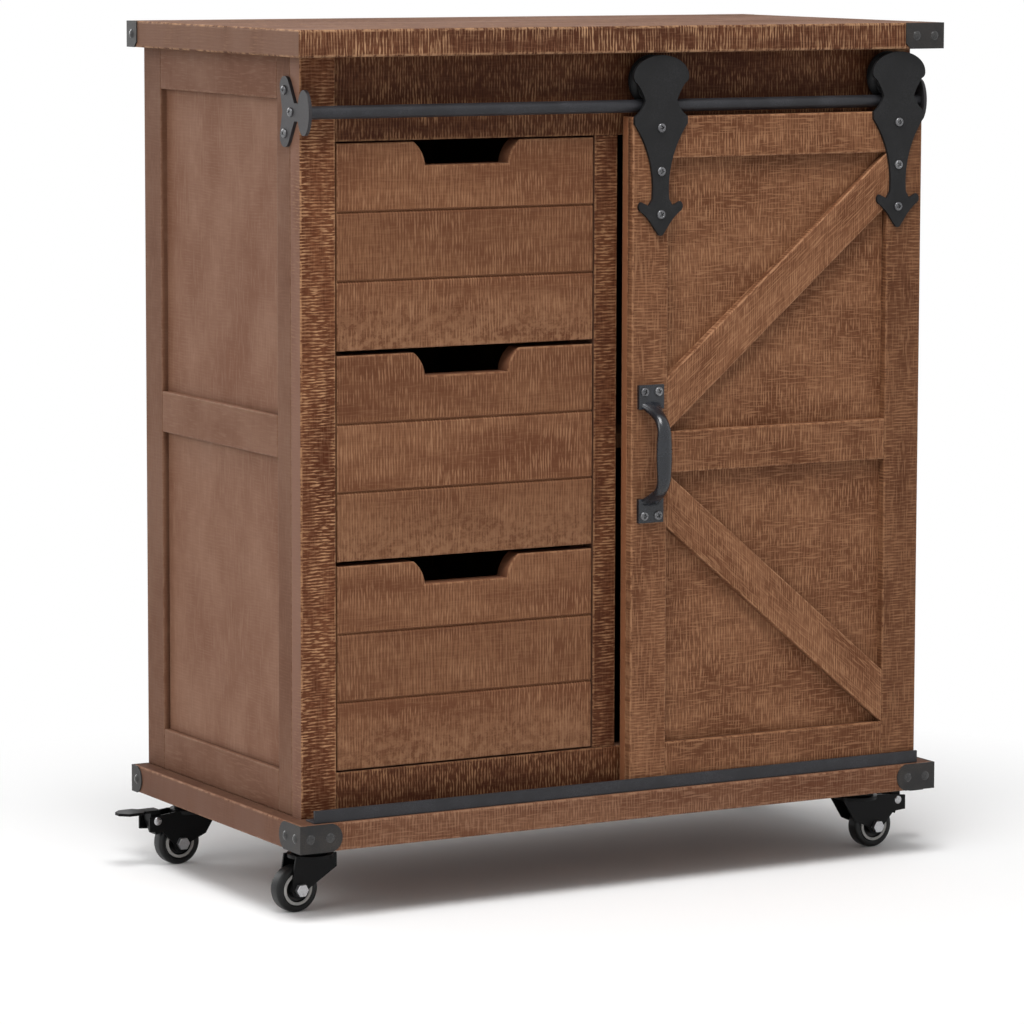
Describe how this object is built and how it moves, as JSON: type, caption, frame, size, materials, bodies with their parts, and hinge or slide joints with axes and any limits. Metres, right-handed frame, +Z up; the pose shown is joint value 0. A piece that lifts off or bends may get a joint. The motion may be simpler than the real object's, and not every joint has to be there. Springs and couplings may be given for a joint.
{
  "type": "storage cabinet",
  "caption": "Rustic rolling cabinet with stacked scoop-grip drawers beside a cupboard closed by a sliding barn door on strap hangers, with iron corner caps and braked casters.",
  "frame": {"origin": "on the floor, under the middle of the whole object's bounding box", "axes": "+Z up, -Y to the front with the drawers and the door, +X to the right as seen from the front"},
  "size_m": [0.7062, 0.3576, 0.75],
  "materials": {
    "frame_wood": "saw-marked dark stain",
    "base_wood": "satin stain",
    "side_wood": "satin stain",
    "drawer_wood": "saw-marked stain",
    "door_wood": "saw-marked stain",
    "inner_wood": "matte stain",
    "black_iron": "matte powder coat",
    "dark_fasteners": "satin black",
    "caster_black": "satin black",
    "zinc_steel": "zinc plated",
    "tyre_black": "matte"
  },
  "bodies": {
    "cabinet": {"top_board": "frame_wood", "base_board": "base_wood", "front_stiles": "frame_wood", "front_rails": "frame_wood", "left_side_panel": "side_wood", "left_side_frame": "side_wood", "right_side_panel": "side_wood", "right_side_frame": "side_wood", "back_panel": "inner_wood", "partition": "inner_wood", "shelf": "inner_wood", "shelf_cleats": "inner_wood", "drawer_runners": "inner_wood", "corner_caps": "black_iron", "cap_rivets": "dark_fasteners", "hanging_rail": "black_iron", "rail_brackets": "black_iron", "bracket_screws": "dark_fasteners", "floor_guide": "black_iron", "caster_plates": "caster_black", "caster_screws": "zinc_steel"},
    "door": {"door_board": "door_wood", "door_left_stile": "door_wood", "door_right_stile": "door_wood", "door_rails": "door_wood", "door_braces": "door_wood", "door_handle": "black_iron", "left_hanger_strap": "black_iron", "right_hanger_strap": "black_iron", "door_screws": "dark_fasteners", "roller_studs": "dark_fasteners"},
    "left_roller": {"left_roller": "black_iron"},
    "right_roller": {"right_roller": "black_iron"},
    "top_drawer": {"top_drawer_front": "drawer_wood", "top_drawer_sides": "inner_wood", "top_drawer_back": "inner_wood", "top_drawer_bottom": "inner_wood"},
    "middle_drawer": {"middle_drawer_front": "drawer_wood", "middle_drawer_sides": "inner_wood", "middle_drawer_back": "inner_wood", "middle_drawer_bottom": "inner_wood"},
    "bottom_drawer": {"bottom_drawer_front": "drawer_wood", "bottom_drawer_sides": "inner_wood", "bottom_drawer_back": "inner_wood", "bottom_drawer_bottom": "inner_wood"},
    "front_left_caster": {"front_left_fork": "caster_black", "front_left_axle": "zinc_steel"},
    "front_left_wheel": {"front_left_wheel": "tyre_black"},
    "front_right_caster": {"front_right_fork": "caster_black", "front_right_axle": "zinc_steel"},
    "front_right_wheel": {"front_right_wheel": "tyre_black"},
    "front_right_brake_pedal": {"front_right_brake_pedal": "caster_black"},
    "back_left_caster": {"back_left_fork": "caster_black", "back_left_axle": "zinc_steel"},
    "back_left_wheel": {"back_left_wheel": "tyre_black"},
    "back_left_brake_pedal": {"back_left_brake_pedal": "caster_black"},
    "back_right_caster": {"back_right_fork": "caster_black", "back_right_axle": "zinc_steel"},
    "back_right_wheel": {"back_right_wheel": "tyre_black"}
  },
  "joints": [
    {"name": "top_drawer_slide", "type": "slide", "parent": "cabinet", "child": "top_drawer", "axis": [0, -1, 0], "range_m": [0, 0.2]},
    {"name": "middle_drawer_slide", "type": "slide", "parent": "cabinet", "child": "middle_drawer", "axis": [0, -1, 0], "range_m": [0, 0.2]},
    {"name": "bottom_drawer_slide", "type": "slide", "parent": "cabinet", "child": "bottom_drawer", "axis": [0, -1, 0], "range_m": [0, 0.2]},
    {"name": "door_slide", "type": "slide", "parent": "cabinet", "child": "door", "axis": [1, 0, 0], "range_m": [-0.308, 0]},
    {"name": "left_roller_spin", "type": "hinge", "parent": "door", "child": "left_roller", "pos_m": [0.0315, -0.1408, 0.7025], "axis": [0, 1, 0], "continuous": true},
    {"name": "right_roller_spin", "type": "hinge", "parent": "door", "child": "right_roller", "pos_m": [0.2765, -0.1408, 0.7025], "axis": [0, 1, 0], "continuous": true},
    {"name": "front_left_swivel", "type": "hinge", "parent": "cabinet", "child": "front_left_caster", "pos_m": [-0.278, -0.0928, 0.05], "axis": [0, 0, 1], "continuous": true},
    {"name": "front_left_wheel_spin", "type": "hinge", "parent": "front_left_caster", "child": "front_left_wheel", "pos_m": [-0.29396, -0.09392, 0.02], "axis": [0.0698, -0.9976, 0], "continuous": true},
    {"name": "front_right_swivel", "type": "hinge", "parent": "cabinet", "child": "front_right_caster", "pos_m": [0.278, -0.0928, 0.05], "axis": [0, 0, 1], "continuous": true},
    {"name": "front_right_wheel_spin", "type": "hinge", "parent": "front_right_caster", "child": "front_right_wheel", "pos_m": [0.29399, -0.09224, 0.02], "axis": [-0.0349, 0.9994, 0], "continuous": true},
    {"name": "front_right_brake", "type": "hinge", "parent": "front_right_caster", "child": "front_right_brake_pedal", "pos_m": [0.31798, -0.0914, 0.042], "axis": [-0.0349, 0.9994, 0], "range_deg": [0, 10]},
    {"name": "back_left_swivel", "type": "hinge", "parent": "cabinet", "child": "back_left_caster", "pos_m": [-0.278, 0.14, 0.05], "axis": [0, 0, 1], "continuous": true},
    {"name": "back_left_wheel_spin", "type": "hinge", "parent": "back_left_caster", "child": "back_left_wheel", "pos_m": [-0.29399, 0.13944, 0.02], "axis": [0.0349, -0.9994, 0], "continuous": true},
    {"name": "back_left_brake", "type": "hinge", "parent": "back_left_caster", "child": "back_left_brake_pedal", "pos_m": [-0.31798, 0.1386, 0.042], "axis": [0.0349, -0.9994, 0], "range_deg": [0, 10]},
    {"name": "back_right_swivel", "type": "hinge", "parent": "cabinet", "child": "back_right_caster", "pos_m": [0.278, 0.14, 0.05], "axis": [0, 0, 1], "continuous": true},
    {"name": "back_right_wheel_spin", "type": "hinge", "parent": "back_right_caster", "child": "back_right_wheel", "pos_m": [0.29391, 0.14167, 0.02], "axis": [-0.1045, 0.9945, 0], "continuous": true}
  ],
  "couplings": [
    {"joint": "left_roller_spin", "follows": "door_slide", "rad_per_m": 62.5},
    {"joint": "right_roller_spin", "follows": "door_slide", "rad_per_m": 62.5}
  ]
}
